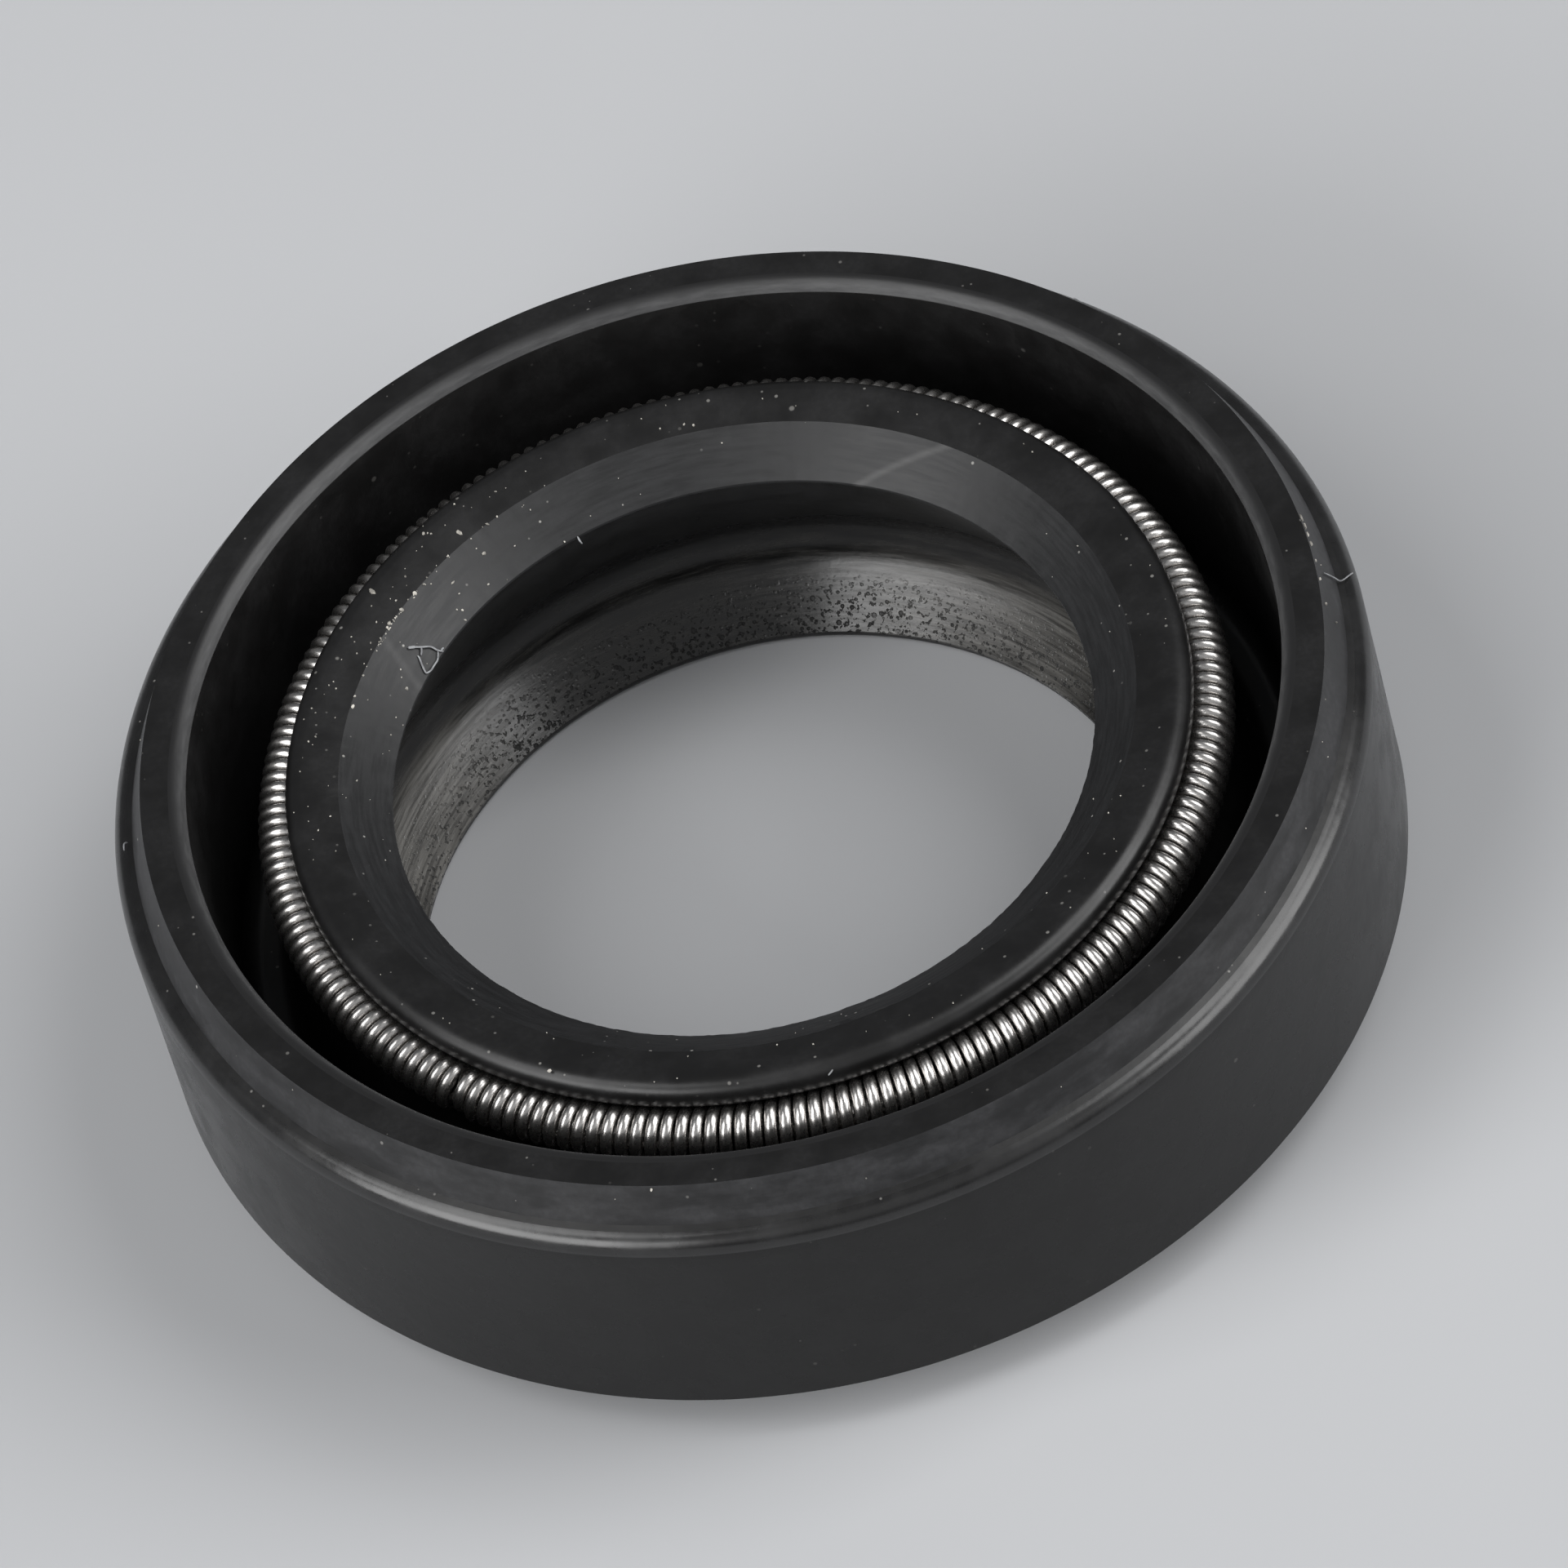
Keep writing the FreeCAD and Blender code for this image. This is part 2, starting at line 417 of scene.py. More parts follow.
# %% Name the steps of a finish
class Finish:
    """A material whose nodes are added one step at a time. Lengths in it are millimetres."""

    def __init__(self, name):
        self.material = bpy.data.materials.new(name)
        self.material.use_nodes = True
        self.tree = self.material.node_tree
        self.tree.nodes.clear()
        coordinates = self.add("ShaderNodeTexCoord")
        inputs = {0: coordinates.outputs["Object"], "Scale": 1 / mm}
        self.place = self.add("ShaderNodeVectorMath", inputs, operation="SCALE").outputs["Vector"]

    def add(self, kind, inputs=None, **settings):
        """One node, with its settings and with its inputs given as numbers or joined to others."""
        node = self.tree.nodes.new(kind)
        for name, value in settings.items():
            setattr(node, name, value)
        for name, value in (inputs or {}).items():
            if isinstance(value, bpy.types.NodeSocket):
                self.tree.links.new(value, node.inputs[name])
            else:
                node.inputs[name].default_value = value
        return node

    def sum_of(self, operation, first, second=0.0):
        """A sum done by a Math node."""
        return self.add("ShaderNodeMath", {0: first, 1: second}, operation=operation).outputs[0]

    def grade(self, value, start, end, low=0.0, high=1.0):
        """A smooth change from low to high as the value goes from start to end."""
        inputs = {"Value": value, "From Min": start, "From Max": end, "To Min": low, "To Max": high}
        return self.add("ShaderNodeMapRange", inputs, interpolation_type="SMOOTHSTEP").outputs["Result"]

    def mottle(self, where, per_mm, detail=3.0):
        """Cloudy noise from 0 to 1, with so many blotches to the millimetre."""
        inputs = {"Vector": where, "Scale": per_mm, "Detail": detail, "Roughness": 0.6}
        return self.add("ShaderNodeTexNoise", inputs, noise_dimensions="3D").outputs["Fac"]

    def mix(self, share, first, second):
        """One colour turning into another."""
        node = self.add("ShaderNodeMix", {"Factor": share}, data_type="RGBA")
        for socket, colour in ((node.inputs[6], first), (node.inputs[7], second)):
            if isinstance(colour, bpy.types.NodeSocket):
                self.tree.links.new(colour, socket)
            else:
                socket.default_value = (*colour, 1)
        return node.outputs[2]


# %% [markdown]
# Turning marks and scuffs run round the ring, not along X or Y. So a second set of coordinates
# is made: the direction from the axis, which changes slowly round the ring, and the distance
# along the section, which is stretched. Noise read there comes out as fine lines round the
# seal. The direction is used, and not its angle, because an angle has a seam where it jumps.

# %% Coordinates that run round the ring
class RingFinish(Finish):
    """A finish that knows its radius, its height and the way round the ring."""

    def __init__(self, name):
        super().__init__(name)
        parts = self.add("ShaderNodeSeparateXYZ", {"Vector": self.place})
        self.x, self.y, self.height = parts.outputs
        surface = self.add("ShaderNodeNewGeometry")
        facing = self.add("ShaderNodeSeparateXYZ", {"Vector": surface.outputs["True Normal"]})
        self.upward = self.grade(facing.outputs["Z"], 0.15, 0.75)
        flat = self.add("ShaderNodeCombineXYZ", {"X": self.x, "Y": self.y}).outputs["Vector"]
        self.radius = self.add("ShaderNodeVectorMath", {0: flat}, operation="LENGTH").outputs["Value"]
        self.angle = self.sum_of("ARCTAN2", self.y, self.x)

    def lines(self, per_mm, length=1.2, ring_radius=10, radius_weight=1.3):
        """Noise drawn out round the ring, with so many lines to the millimetre across it."""
        way_x = self.sum_of("DIVIDE", self.x, self.radius)
        way_y = self.sum_of("DIVIDE", self.y, self.radius)
        across = self.sum_of("ADD", self.height, self.sum_of("MULTIPLY", self.radius, radius_weight))
        inputs = {
            "X": self.sum_of("MULTIPLY", way_x, ring_radius / length),
            "Y": self.sum_of("MULTIPLY", way_y, ring_radius / length),
            "Z": self.sum_of("MULTIPLY", across, per_mm),
        }
        where = self.add("ShaderNodeCombineXYZ", inputs).outputs["Vector"]
        return self.mottle(where, 1.0, detail=4.0)

    def away_from(self, azimuth):
        """How far round the ring a point is from an azimuth, both in radians."""
        return self.sum_of("ABSOLUTE", self.sum_of("SUBTRACT", self.angle, azimuth))

    def specks(self, per_mm, widest, share, seed=0.0):
        """Small spots, each of its own size: 1 on a spot and 0 elsewhere."""
        moved = self.add("ShaderNodeVectorMath", {0: self.place, 1: (seed, seed, seed)}, operation="ADD")
        inputs = {"Vector": moved.outputs["Vector"], "Scale": per_mm}
        cells = self.add("ShaderNodeTexVoronoi", inputs, voronoi_dimensions="3D")
        chance = self.add("ShaderNodeSeparateColor", {"Color": cells.outputs["Color"]})
        size = self.grade(chance.outputs[0], 0.0, 1.0, 0.25, 1.0)
        reach = self.sum_of("MULTIPLY", size, widest * per_mm)
        core = self.sum_of("MULTIPLY", reach, 0.55)
        near = self.grade(cells.outputs["Distance"], core, reach, 1.0, 0.0)
        picked = self.sum_of("LESS_THAN", chance.outputs[1], share)
        strength = self.grade(chance.outputs[2], 0.0, 1.0, 0.15, 1.0)
        return self.sum_of("MULTIPLY", self.sum_of("MULTIPLY", near, picked), strength)

    def close(self, colour, roughness, bumps, specular=0.5):
        """Joins colour, roughness and bumps, a list of (height, depth in mm), to a shader."""
        normal = None
        for height, depth in bumps:
            inputs = {"Height": height, "Strength": 1.0, "Distance": depth * mm}
            if normal is not None:
                inputs["Normal"] = normal
            normal = self.add("ShaderNodeBump", inputs).outputs["Normal"]
        inputs = {"Base Color": colour, "Roughness": roughness, "Normal": normal,
                  "Specular IOR Level": specular}
        shader = self.add("ShaderNodeBsdfPrincipled", inputs)
        self.add("ShaderNodeOutputMaterial", {"Surface": shader.outputs["BSDF"]})
        return self.material


# %% [markdown]
# ## The finishes of the rubber
# Moulded nitrile rubber is nearly black and dull. Up close it is faintly mottled, with a fine
# grain from the mould, and it picks up pale dust. The dust is drawn as small spots of several
# sizes, because rubber holds on to it by static and even a new seal shows it in a close-up.

# %% Finish of the moulded rubber
soot = (0.0062, 0.0060, 0.0060)
worn_soot = (0.0118, 0.0116, 0.0119)
dust_colour = (0.34, 0.33, 0.31)


def moulded_rubber(name, dark, light, roughness, grain_depth, dust_share, specular=0.5):
    """Dull moulded rubber: cloudy colour, fine grain and a little dust."""
    finish = RingFinish(name)
    clouds = finish.mottle(finish.place, 0.9)
    grain = finish.mottle(finish.place, 9.0, 2.0)
    grain_shade = finish.grade(grain, 0.35, 0.7, 0.45, 1.0)
    shade = finish.sum_of("MULTIPLY", finish.grade(clouds, 0.3, 0.7), grain_shade)
    colour = finish.mix(shade, dark, light)
    fine_dust = finish.specks(4.5, 0.045, dust_share)
    coarse_dust = finish.specks(1.3, 0.075, dust_share, 17.0)
    dust = finish.sum_of("MAXIMUM", finish.sum_of("MULTIPLY", fine_dust, 0.55), coarse_dust)
    settled = finish.grade(finish.upward, 0.0, 1.0, 0.12, 1.0)
    colour = finish.mix(finish.sum_of("MULTIPLY", dust, settled), colour, dust_colour)
    rough = finish.grade(clouds, 0.25, 0.75, roughness - 0.05, roughness + 0.06)
    return finish.close(colour, rough, [(clouds, 0.010), (grain, grain_depth)], specular)


cover_black = (0.009, 0.009, 0.009)
rubber_finishes = {
    "moulded": moulded_rubber("moulded_rubber", soot, worn_soot, 0.36, 0.0016, 0.30),
    "cover": moulded_rubber("cover_rubber", soot, cover_black, 0.27, 0.0009, 0.10, specular=0.30),
    "shoulder": moulded_rubber("shoulder_rubber", soot, worn_soot, 0.27, 0.0009, 0.10, specular=0.65),
    "air_flank": moulded_rubber("air_flank_rubber", soot, worn_soot, 0.32, 0.0010, 0.10),
}
print("finishes so far:", sorted(rubber_finishes))

# %% [markdown]
# The inner edge of the rim is painted paler, with faint streaks, and made rougher: a painted
# highlight. It is strongest low on the edge and fades out where the edge rolls over onto the rim.

# %% Finish of the rim's inner edge, with its painted highlight
highlight_grey, highlight_pale = (0.032, 0.032, 0.033), (0.063, 0.063, 0.064)
highlight_height = 0.13

finish = RingFinish("painted_highlight_edge_rubber")
highlight_streaks = finish.lines(6.0, length=0.5)
highlight_share = finish.grade(finish.height, seal_width, seal_width - highlight_height)
highlight_colour = finish.mix(finish.grade(highlight_streaks, 0.25, 0.75), highlight_grey, highlight_pale)
# the paler colour low on the edge is a painted highlight
colour = finish.mix(highlight_share, worn_soot, highlight_colour)
rough = finish.grade(highlight_share, 0.0, 1.0, 0.38, 0.52)
rubber_finishes["worn_edge"] = finish.close(colour, rough, [(highlight_streaks, 0.002)])
# the edge's paler colour is a painted highlight
print("the rim's worn edge is", rubber_finishes["worn_edge"].name)

# %% [markdown]
# The lead-in and the bore come from parts of the mould that are turned and polished, and the
# rubber copies their marks as fine lines round the ring. One helper draws these lines for both,
# and for the trimmed flank too, and hands back the unfinished material for further marks.

# %% Finish of the lead-in
def lined_rubber(name, dark, light, roughness, line_depth, lines_per_mm):
    """Smoother rubber with turning marks, ready for further marks: the finish and its colour."""
    finish = RingFinish(name)
    marks = finish.lines(lines_per_mm)
    grain = finish.mottle(finish.place, 7.0, 2.0)
    grain_shade = finish.grade(grain, 0.3, 0.7, 0.6, 1.0)
    shade = finish.sum_of("MULTIPLY", finish.grade(marks, 0.3, 0.7), grain_shade)
    colour = finish.mix(shade, dark, light)
    rough = finish.grade(marks, 0.3, 0.7, roughness - 0.05, roughness + 0.07)
    return finish, colour, rough, [(marks, line_depth), (grain, 0.0015)]


taper_dark, taper_light = (0.010, 0.010, 0.0105), (0.034, 0.034, 0.036)
finish, colour, rough, bumps = lined_rubber("lead_in_rubber", taper_dark, taper_light, 0.46, 0.002, 5.0)
colour = finish.mix(finish.specks(3.0, 0.045, 0.20), colour, dust_colour)
rubber_finishes["lead_in"] = finish.close(colour, rough, bumps, specular=0.38)
print("finishes so far:", sorted(rubber_finishes))

# %% [markdown]
# The bore is smoother still, so the lamps show in it as pale patches. Two more pale, streaked
# patches are painted into the colour of its funnel above the dust lip: painted reflections of the
# lamps. Its lower part is full of small dark pits. Each painted reflection is given by an azimuth,
# the half widths where it begins and ends to fade, and a strength.
# The pits are spots of two sizes with crumbs of noise between them. They are dark and dull, and
# they dent the surface too.

# %% Finish of the bore, with painted reflections
painted_lamp_reflections = [(143.0, 8.0, 24.0, 1.0), (45.0, 12.0, 26.0, 0.65)]
bore_light, reflection_pale = (0.024, 0.023, 0.021), (0.165, 0.160, 0.150)
pit_black = (0.004, 0.004, 0.004)

finish, colour, rough, bumps = lined_rubber("bore_rubber", soot, bore_light, 0.23, 0.002, 7.0)
large_pits, small_pits = finish.specks(5.5, 0.065, 0.65, 5.0), finish.specks(9.0, 0.045, 0.90, 23.0)
crumbs = finish.grade(finish.mottle(finish.place, 10.0, 2.0), 0.58, 0.68, 0.0, 0.85)
pits = finish.sum_of("MAXIMUM", finish.sum_of("MAXIMUM", large_pits, small_pits), crumbs)
pits = finish.sum_of("MULTIPLY", pits, finish.grade(finish.height, 1.30, 0.40))
streaks = finish.grade(finish.lines(9.0, length=2.0), 0.35, 0.65, 0.30, 1.0)
streaks = finish.sum_of("MULTIPLY", streaks, finish.grade(finish.height, 1.80, 1.20))
# each pale streaked patch here is a painted reflection of a lamp
for middle, inner, outer, strength in painted_lamp_reflections:
    away = finish.away_from(math.radians(middle))
    reflection_share = finish.grade(away, math.radians(inner), math.radians(outer), strength, 0.0)
    colour = finish.mix(finish.sum_of("MULTIPLY", reflection_share, streaks), colour, reflection_pale)
colour = finish.mix(finish.grade(finish.height, 1.7, 2.5), colour, soot)
colour = finish.mix(pits, colour, pit_black)
rough = finish.sum_of("ADD", rough, finish.sum_of("MULTIPLY", pits, 0.45))
bumps.append((finish.sum_of("MULTIPLY", pits, -1.0), 0.020))
rubber_finishes["bore"] = finish.close(colour, rough, bumps)
print("finishes so far:", sorted(rubber_finishes))

# %% [markdown]
# The knife leaves the flank above the lip smooth and even, a little bluer and paler than the
# moulded skin, with two faint drag marks. Each one is a soft stripe that crosses the flank at a
# slant, found from the angle round the ring and the radius. It is given by its azimuths at the
# top and at the lip, its half width in degrees and its strength.

# %% Finish of the trimmed flank
drag_marks = [(45.0, 58.0, 1.6, 0.55), (141.0, 145.0, 1.2, 0.30)]
cut_dark, cut_light = (0.0120, 0.0121, 0.0126), (0.0175, 0.0178, 0.0188)
drag_colour = (0.075, 0.074, 0.074)

finish, colour, rough, bumps = lined_rubber("trimmed_rubber", cut_dark, cut_light, 0.45, 0.0008, 6.0)
for at_top, at_lip, width, strength in drag_marks:
    slant = math.radians(at_top - at_lip) / trim_reach
    from_lip = finish.sum_of("MULTIPLY", finish.sum_of("SUBTRACT", finish.radius, lip_radius), slant)
    away = finish.away_from(finish.sum_of("ADD", from_lip, math.radians(at_lip)))
    mark = finish.grade(away, 0.0, math.radians(width), strength, 0.0)
    colour = finish.mix(mark, colour, drag_colour)
colour = finish.mix(finish.specks(4.0, 0.040, 0.35), colour, dust_colour)
rubber_finishes["trimmed"] = finish.close(colour, rough, bumps, specular=0.42)
print("drag marks:", len(drag_marks))

# %% [markdown]
# Each face of the rubber now gets its own finish. The outline gave every stretch a finish's
# name, and each face knows which stretch it was turned from, so no face is picked by hand.

# %% Put the finishes on the rubber
order = sorted(rubber_finishes)
for key in order:
    rubber.data.materials.append(rubber_finishes[key])
face_finishes = [order.index(outline_finishes[place]) for place in rubber_places]
rubber.data.polygons.foreach_set("material_index", face_finishes)
rubber.data.update()
print("the rubber has", len(order), "finishes")

# %% [markdown]
# ## The finishes of the steel
# Drawn spring wire is bright, with fine marks along its length. The pressed case is plain mild
# steel with a phosphate film. It lies inside the rubber, where it can't be seen, but it gets its
# finish all the same, for whoever cuts the model open.

# %% Finish of the wire and of the case
def drawn_steel(name, tint, roughness, spread, depth):
    """Bright steel with a slightly uneven polish."""
    finish = RingFinish(name)
    film = finish.mottle(finish.place, 1.7)
    grain = finish.mottle(finish.place, 14.0, 2.0)
    dimmer = tuple(0.80 * part for part in tint)
    colour = finish.mix(finish.grade(film, 0.3, 0.7), tint, dimmer)
    rough = finish.grade(grain, 0.3, 0.7, roughness - spread, roughness + spread)
    finish.close(colour, rough, [(grain, depth)])
    shader = next(node for node in finish.tree.nodes if node.type == "BSDF_PRINCIPLED")
    shader.inputs["Metallic"].default_value = 1.0
    return finish.material


wire_tint, case_tint = (0.68, 0.66, 0.64), (0.30, 0.30, 0.31)
spring.data.materials.append(drawn_steel("spring_wire_steel", wire_tint, 0.28, 0.02, 0.0002))
case = frame["nodes"]["steel_case"]
case.data.materials.clear()
case.data.materials.append(drawn_steel("case_steel", case_tint, 0.50, 0.10, 0.0030))
print("steel finishes are on", spring.name, "and", case.name)

# %% [markdown]
# ## Dust and lint
# The seal in the photograph has been handled: a few chips of something pale lie on the lip, a
# bit of lint is curled up by its edge, and a hair lies over the lead-in. They are real shapes
# here, because each one casts a small shadow and catches the lamps. To lay them down, the
# height of the top surface and the way that it faces have to be known at any radius.

# %% Find the top surface
def top_surface(radius):
    """The height of the top surface at a radius, and its direction in the section."""
    if radius < trim_radius:
        low, high = Vector((lip_radius, lip_top_z)), Vector((trim_radius, trim_z))
    elif radius < ridge_side_radius:
        low, high = Vector((trim_radius, trim_z)), Vector((ridge_side_radius, ridge_top_z))
    else:
        low = Vector((lead_in_foot_radius - lead_in_taper, seal_width))
        high = Vector((lead_in_foot_radius, shoulder_z))
    along = (high - low).normalized()
    share = (radius - low.x) / (high.x - low.x)
    return low.y + share * (high.y - low.y), Vector((-along.y, along.x))


def on_top(azimuth, radius, lift=0.0):
    """A place on the top surface, and three directions: round, up the slope and out of it."""
    angle = math.radians(azimuth)
    outward = Vector((math.cos(angle), math.sin(angle), 0))
    around = Vector((-math.sin(angle), math.cos(angle), 0))
    height, facing = top_surface(radius)
    normal = Vector((outward.x * facing.x, outward.y * facing.x, facing.y))
    place = outward * radius + Vector((0, 0, height)) + normal * lift
    return place, around, normal.cross(around), normal


# %% [markdown]
# Each chip is a thin crooked flake. Small icospheres would look like beads, and a flat plane
# has no edge to catch the light, so a flake gets six uneven corners, a bottom ring and a
# slightly smaller top. The larger ones lie where they lie in the photograph, and each is given
# by its azimuth, radius, length, width and heading.

# %% Place the chips
flake_thickness, flake_sink = 0.030, 0.006
large_flakes = [
    (120.6, 8.14, 0.21, 0.085, 100), (135.2, 8.63, 0.20, 0.10, 80), (132.3, 7.90, 0.12, 0.10, 60),
    (135.7, 7.90, 0.13, 0.08, 100), (120.0, 7.58, 0.10, 0.09, 20), (124.0, 8.65, 0.08, 0.07, 0),
    (116.8, 7.91, 0.10, 0.05, 120), (122.8, 7.16, 0.06, 0.05, 0), (138.6, 7.95, 0.10, 0.09, 30),
    (139.4, 7.93, 0.08, 0.06, 70), (126.9, 7.57, 0.12, 0.05, 0), (129.1, 7.16, 0.07, 0.05, 90),
    (130.0, 7.02, 0.08, 0.04, 110), (146.5, 7.18, 0.09, 0.07, 60), (154.1, 7.88, 0.12, 0.08, 10),
    (130.8, 8.28, 0.05, 0.05, 0), (134.8, 8.11, 0.05, 0.04, 0), (108.3, 7.00, 0.06, 0.04, 90),
    (233.6, 8.86, 0.10, 0.08, 20), (84.8, 8.13, 0.07, 0.05, 40), (83.5, 8.06, 0.06, 0.06, 0),
    (2.7, 11.76, 0.22, 0.05, 2), (1.6, 11.77, 0.26, 0.05, 0), (0.5, 11.77, 0.18, 0.05, 0),
    (359.3, 11.77, 0.16, 0.06, 5), (357.1, 11.77, 0.10, 0.04, 0), (354.6, 11.76, 0.09, 0.06, 0),
    (351.8, 11.80, 0.08, 0.06, 30), (350.6, 11.93, 0.05, 0.05, 0), (250.2, 11.77, 0.08, 0.05, 80),
]
print(len(large_flakes), "flakes have a place of their own")

# %% [markdown]
# The fine grains lie thick along the trimmed edge at the back left, less thick on the lip round
# that place, and sparse everywhere else on the lip and on the lead-in. A particle system could
# strew them, but three plain loops say more clearly how many fall where, and their fixed seed
# puts them in the same places on every run.

# %% Strew the fine grains
strewn = random.Random(11)
grains_on_edge, grains_near_edge, grains_elsewhere = 46, 60, 90


def strew_fine_flakes():
    """Azimuth, radius, length, width and heading of every fine grain."""
    flakes = []
    for _ in range(grains_on_edge):
        size = strewn.uniform(0.025, 0.060)
        azimuth, radius = strewn.gauss(137, 8), strewn.gauss(7.905, 0.022)
        flakes.append((azimuth, radius, size, size * 0.7, strewn.uniform(0, 180)))
    for _ in range(grains_near_edge):
        size = strewn.uniform(0.020, 0.050)
        on_lip_face = strewn.random() < 0.55
        radius = strewn.uniform(8.0, 8.75) if on_lip_face else strewn.uniform(7.0, 7.85)
        flakes.append((strewn.gauss(142, 24), radius, size, size * 0.8, strewn.uniform(0, 180)))
    for _ in range(grains_elsewhere):
        size = strewn.uniform(0.020, 0.045)
        whole_lip, lip_face = strewn.uniform(7.0, 8.8), strewn.uniform(7.95, 8.8)
        radius = strewn.choice((whole_lip, lip_face, strewn.uniform(11.78, 12.04)))
        flakes.append((strewn.uniform(0, 360), radius, size, size * 0.8, strewn.uniform(0, 180)))
    return flakes


def lay_flakes(flakes):
    """Vertices and faces of all the flakes, each lying on the top surface."""
    vertices, faces = [], []
    for azimuth, radius, length, width, heading in flakes:
        place, around, upslope, normal = on_top(azimuth, radius, -flake_sink)
        turn = math.radians(heading)
        along = around * math.cos(turn) + upslope * math.sin(turn)
        across = normal.cross(along)
        thickness = min(flake_thickness, 0.5 * width)
        corners = []
        for corner in range(6):
            angle = math.pi * corner / 3 + strewn.uniform(-0.3, 0.3)
            reach = strewn.uniform(0.75, 1.05) / 2
            lengthwise = along * (math.cos(angle) * length * reach)
            corners.append(lengthwise + across * (math.sin(angle) * width * reach))
        first = len(vertices)
        vertices += [tuple((place + corner) * mm) for corner in corners]
        for corner in corners:
            top = place + corner * 0.78 + normal * thickness * strewn.uniform(0.7, 1.3)
            vertices.append(tuple(top * mm))
        faces += [tuple(first + k for k in reversed(range(6))), tuple(first + 6 + k for k in range(6))]
        for corner in range(6):
            beside = (corner + 1) % 6
            faces.append((first + corner, first + beside, first + 6 + beside, first + 6 + corner))
    return vertices, faces


all_flakes = large_flakes + strew_fine_flakes()
flakes = new_piece("dust_flakes", *lay_flakes(all_flakes))
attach(flakes, "root")
print(len(all_flakes), "flakes of dust")

# %% [markdown]
# A fibre is a thin tube along a smooth path. A Curve object would do, but fibres of one object
# are easier to keep together as one mesh, and the path's points can then lie on the cone of
# the lip. Catmull-Rom weights make the path pass through every point that is given.

# %% Shape a fibre
def smooth_path(points, steps=5):
    """A path through all the points, with more points between them."""
    ends = [points[0] * 2 - points[1]] + points + [points[-1] * 2 - points[-2]]
    path = []
    for index in range(1, len(ends) - 2):
        a, b, c, d = ends[index - 1:index + 3]
        for step in range(steps):
            t = step / steps
            bend, twist = a * 2 - b * 5 + c * 4 - d, b * 3 - a - c * 3 + d
            path.append((b * 2 + (c - a) * t + bend * t ** 2 + twist * t ** 3) / 2)
    return path + [points[-1]]


def lay_fibre(vertices, faces, path, thickness, sides=6):
    """Adds a tube that thins out at both ends."""
    first = len(vertices)
    for index, point in enumerate(path):
        along = (path[min(index + 1, len(path) - 1)] - path[max(index - 1, 0)]).normalized()
        across = along.cross(Vector((0, 0, 1))).normalized()
        over = across.cross(along)
        share = index / (len(path) - 1)
        radius = thickness / 2 * (0.45 + 0.55 * min(1.0, 8 * share, 8 * (1 - share)))
        for side in range(sides):
            angle = 2 * math.pi * side / sides
            spoke = across * math.cos(angle) + over * math.sin(angle)
            vertices.append(tuple((point + spoke * radius) * mm))
    for ring in range(len(path) - 1):
        for side in range(sides):
            here = first + ring * sides + side
            beside = first + ring * sides + (side + 1) % sides
            faces.append((here, beside, beside + sides, here + sides))
    faces.append(tuple(first + side for side in reversed(range(sides))))
    faces.append(tuple(first + (len(path) - 1) * sides + side for side in range(sides)))


# %% [markdown]
# The curled bit of lint lies on the trimmed flank and is made of five strands. The hair and the
# whiskers bridge the edges of the lead-in, the rim and the lip. Their points were read off in
# the photograph as azimuths and heights, so that each fibre lies where it lies there.

# %% Find the paths of the fibres
def on_flank(azimuth, height, lift=0.022):
    """A place on the trimmed flank, at an azimuth and a height."""
    radius = lip_radius + (height - lip_top_z) * trim_reach / trim_height
    return on_top(azimuth, max(radius, lip_radius), lift)[0]


loop_strands = [
    [on_flank(140.1, 5.915), on_flank(139.6, 5.868), on_flank(138.8, 5.784, 0.05),
     on_flank(137.8, 5.700, 0.04), on_flank(137.5, 5.610), on_flank(137.0, 5.545)],
    [on_flank(136.6, 5.572, 0.06), on_flank(137.1, 5.575)],
    [on_flank(137.6, 5.600), on_flank(138.2, 5.570), on_flank(139.0, 5.545), on_flank(140.3, 5.545, 0.04),
     on_flank(141.4, 5.548, 0.05), on_flank(142.1, 5.575), on_flank(141.9, 5.614), on_flank(141.3, 5.674),
     on_flank(140.6, 5.740), on_flank(140.4, 5.772)],
    [on_flank(138.8, 5.790), on_flank(139.4, 5.765, 0.04), on_flank(140.0, 5.739)],
]
thick_start = [on_flank(140.3, 5.920, 0.03), on_flank(140.0, 5.895, 0.03), on_flank(139.4, 5.850, 0.03)]


def at(azimuth, radius, height):
    """A place given by its azimuth, radius and height."""
    angle = math.radians(azimuth)
    return Vector((radius * math.cos(angle), radius * math.sin(angle), height))


hair = [at(356.0, 11.87, 6.76), at(356.5, 11.96, 6.53), at(356.8, 12.05, 6.34), at(356.7, 12.13, 6.25),
        at(356.8, 12.22, 6.24), at(357.1, 12.30, 6.22), at(358.4, 12.42, 5.96), at(361.6, 12.46, 5.10)]
whiskers = [
    [at(172.0, 12.16, 6.22), at(172.3, 12.22, 6.27), at(172.9, 12.24, 6.22)],
    [at(41.4, 11.76, 6.96), at(41.2, 11.82, 6.93), at(40.7, 11.84, 6.86)],
    [at(106.0, 6.98, 5.53), at(106.0, 6.90, 5.47), at(105.8, 6.88, 5.38)],
    [at(269.8, 8.90, 6.23), at(269.5, 8.98, 6.26), at(269.0, 9.02, 6.22)],
]
print("fibres to lay:", len(loop_strands) + len(whiskers) + 2)

# %% Lay the fibres
fibres = [(strand, 0.036) for strand in loop_strands] + [(thick_start, 0.060), (hair, 0.030)]
fibres += [(whisker, 0.034) for whisker in whiskers]
lint_vertices, lint_faces = [], []
for points, thickness in fibres:
    lay_fibre(lint_vertices, lint_faces, smooth_path(points), thickness)
lint = new_piece("lint_fibres", lint_vertices, lint_faces)
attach(lint, "root")
print("fibres:", len(lint.data.vertices), "vertices")

# %% [markdown]
# Dust is pale and dull, and no two grains are quite the same shade. Lint is cotton: a little
# brighter, with a soft sheen. Both get cloudy colour, so that neighbours differ.

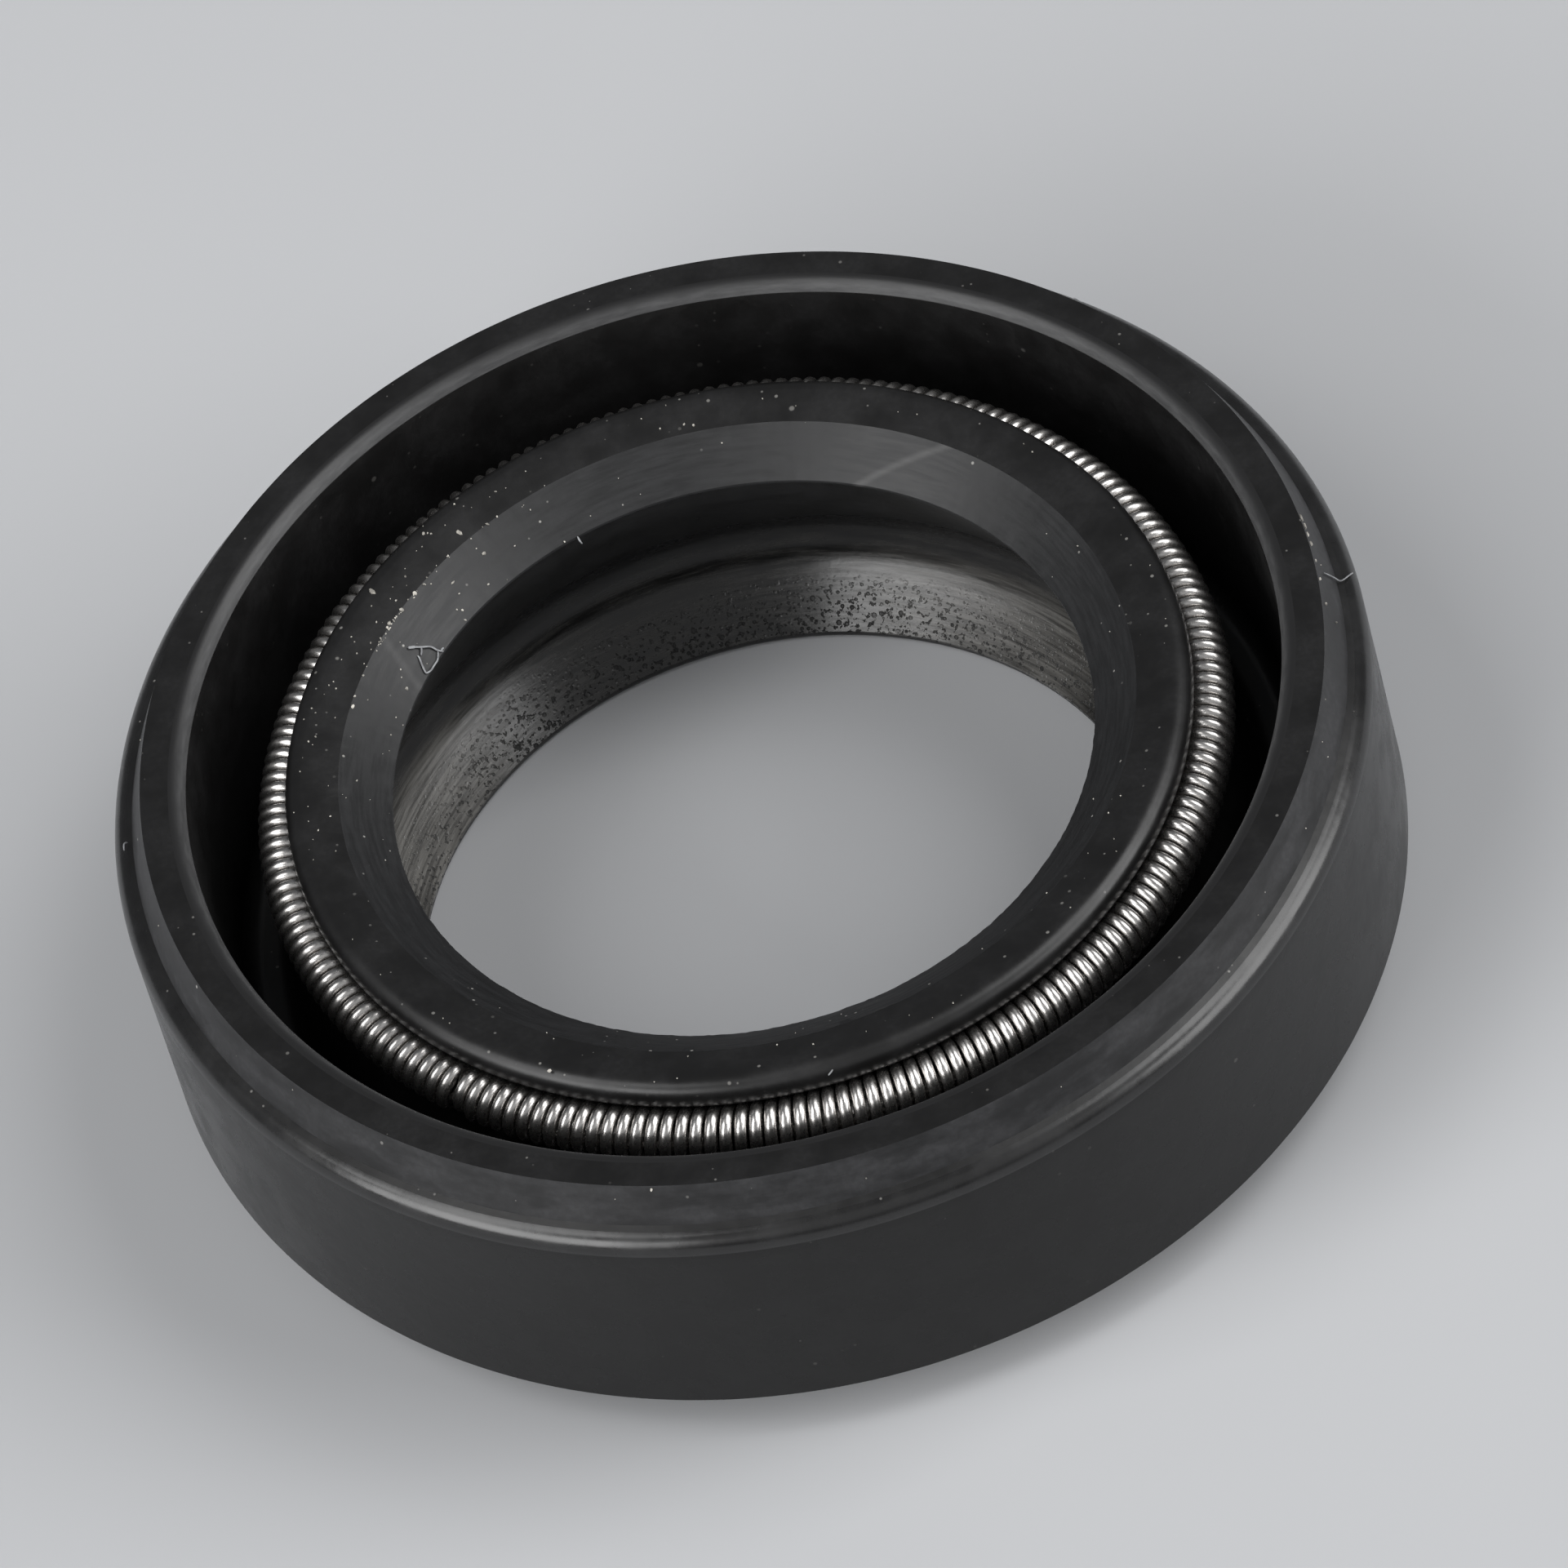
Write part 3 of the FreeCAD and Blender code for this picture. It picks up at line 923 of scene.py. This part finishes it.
# %% Finish of the dust and the lint
def pale_fluff(name, tint, darker, per_mm):
    """Dull pale stuff with a shade that changes from place to place."""
    finish = RingFinish(name)
    shade = finish.mottle(finish.place, per_mm, 2.0)
    colour = finish.mix(finish.grade(shade, 0.35, 0.65), darker, tint)
    return finish.close(colour, finish.grade(shade, 0.0, 1.0, 0.55, 0.75), [(shade, 0.004)])


grain_pale, grain_dark = (0.62, 0.59, 0.53), (0.20, 0.19, 0.17)
lint_pale, lint_dark = (0.36, 0.37, 0.38), (0.20, 0.20, 0.21)
flakes.data.materials.append(pale_fluff("dust_grains", grain_pale, grain_dark, 5.0))
lint.data.materials.append(pale_fluff("cotton_lint", lint_pale, lint_dark, 9.0))
print("dust and lint are finished")

# %% [markdown]
# ## The floor
# The seal lies on a plain pale sheet. One large square does, and its colour is what makes the
# background pale: the lamps stay at a plain level.

# %% Lay the floor
floor_reach = 1.2
sheet_grey, sheet_pale = (0.450, 0.456, 0.469), (0.474, 0.480, 0.492)

sheet_corners = [(x * floor_reach, y * floor_reach, 0) for x, y in ((-1, -1), (1, -1), (1, 1), (-1, 1))]
floor = new_piece("floor", sheet_corners, [(0, 1, 2, 3)])
finish = RingFinish("pale_sheet")
cloud = finish.mottle(finish.place, 0.03)
tone = finish.mix(cloud, sheet_grey, sheet_pale)
rough = finish.grade(cloud, 0.0, 1.0, 0.80, 0.85)
floor.data.materials.append(finish.close(tone, rough, [(cloud, 0.001)], specular=0.2))
print("the floor reaches", floor_reach, "m each way")

# %% [markdown]
# ## Light
# Big soft lamps stand left and right of the seal, a low one and a high one on each side. A weak
# one fills in from the front, and the room adds an even glow. Their reflections draw the whole
# shape: the long pale stripes on the shoulder come from the two low lamps, and the glints on the
# spring from all four. Their places come from those stripes, because a stripe lies half way
# round between the lamp and the camera. One lamp a side would do for the stripes, but the flank
# above the lip looks up, and only the high ones show in it.

# %% Set up the lamps
lamp_distance = 0.5


def soft_lamp(name, azimuth, width, low, high, brightness):
    """A lamp that faces the seal. Its middle, width, lower and upper edge are in degrees."""
    around, above = math.radians(azimuth), math.radians((low + high) / 2)
    outward = Vector((math.cos(around), math.sin(around), 0))
    way = outward * math.cos(above) + Vector((0, 0, math.sin(above)))
    light = bpy.data.lights.new(name, "AREA")
    light.shape = "RECTANGLE"
    light.size = 2 * lamp_distance * math.tan(math.radians(width / 2)) * math.cos(above)
    light.size_y = 2 * lamp_distance * math.tan(math.radians((high - low) / 2))
    light.energy = brightness * math.pi * light.size * light.size_y
    lamp = bpy.data.objects.new(name, light)
    bpy.context.scene.collection.objects.link(lamp)
    lamp.location = way * lamp_distance
    lamp.rotation_mode = "QUATERNION"
    lamp.rotation_quaternion = way.to_track_quat("Z", "Y")
    return light.energy


lamps = [
    soft_lamp("left_low", 212, 48, 10, 40, 5.6),
    soft_lamp("left_high", 190, 46, 40, 72, 3.7),
    soft_lamp("right_low", 343, 46, 6, 40, 4.3),
    soft_lamp("right_high", 4, 52, 40, 72, 4.0),
    soft_lamp("front_fill", 278, 100, 20, 65, 0.30),
]

room_tint, room_glow = (0.93, 0.96, 1.0, 1), 0.15
world = bpy.data.worlds.new("room")
world.use_nodes = True
room = world.node_tree.nodes["Background"]
room.inputs["Color"].default_value = room_tint
room.inputs["Strength"].default_value = room_glow
bpy.context.scene.world = world
bpy.context.scene.view_settings.view_transform = "Standard"
print("lamp powers in watts:", [round(power, 2) for power in lamps])

# %% [markdown]
# ## The camera
# The photograph was taken from about 50 degrees above, from far away with a long lens, and the
# picture is turned a little. The place and lens come from fitting circles to the rims that
# show. The lens length is written for a sensor 36 mm wide, and the distance in outside radii.

# %% Place the camera
elevation = 0.8653277
picture_roll = -0.28613927
aim_tilt, aim_pan = -0.00225863, 0.00739458
distance_in_radii = 22.0
lens_pixels, picture_pixels = 17032.7076, 1921
sensor_width = 36.0

back = Vector((0, -math.cos(elevation), math.sin(elevation)))
right = Vector((1, 0, 0))
up = back.cross(right)
aim = Matrix.Rotation(aim_tilt, 3, up) @ Matrix.Rotation(aim_pan, 3, right)
back_way, right_way, up_way = aim @ back, aim @ right, aim @ up
spin = Matrix.Rotation(picture_roll, 3, back_way)
right_way, up_way = spin @ right_way, spin @ up_way

camera_data = bpy.data.cameras.new("camera")
camera_data.sensor_fit = "HORIZONTAL"
camera_data.sensor_width = sensor_width
camera_data.lens = sensor_width * lens_pixels / picture_pixels
camera_data.clip_start, camera_data.clip_end = 0.01, 10.0
camera = bpy.data.objects.new("camera", camera_data)
bpy.context.scene.collection.objects.link(camera)
turned = Matrix((right_way, up_way, back_way)).transposed().to_4x4()
lowest_visible_edge = Vector((0, 0, heel_chamfer * mm))
viewpoint = back * distance_in_radii * outer_radius * mm + lowest_visible_edge
camera.matrix_world = Matrix.Translation(viewpoint) @ turned
bpy.context.scene.camera = camera
print(f"camera {camera.location.length:.3f} m away, lens {camera_data.lens:.0f} mm")
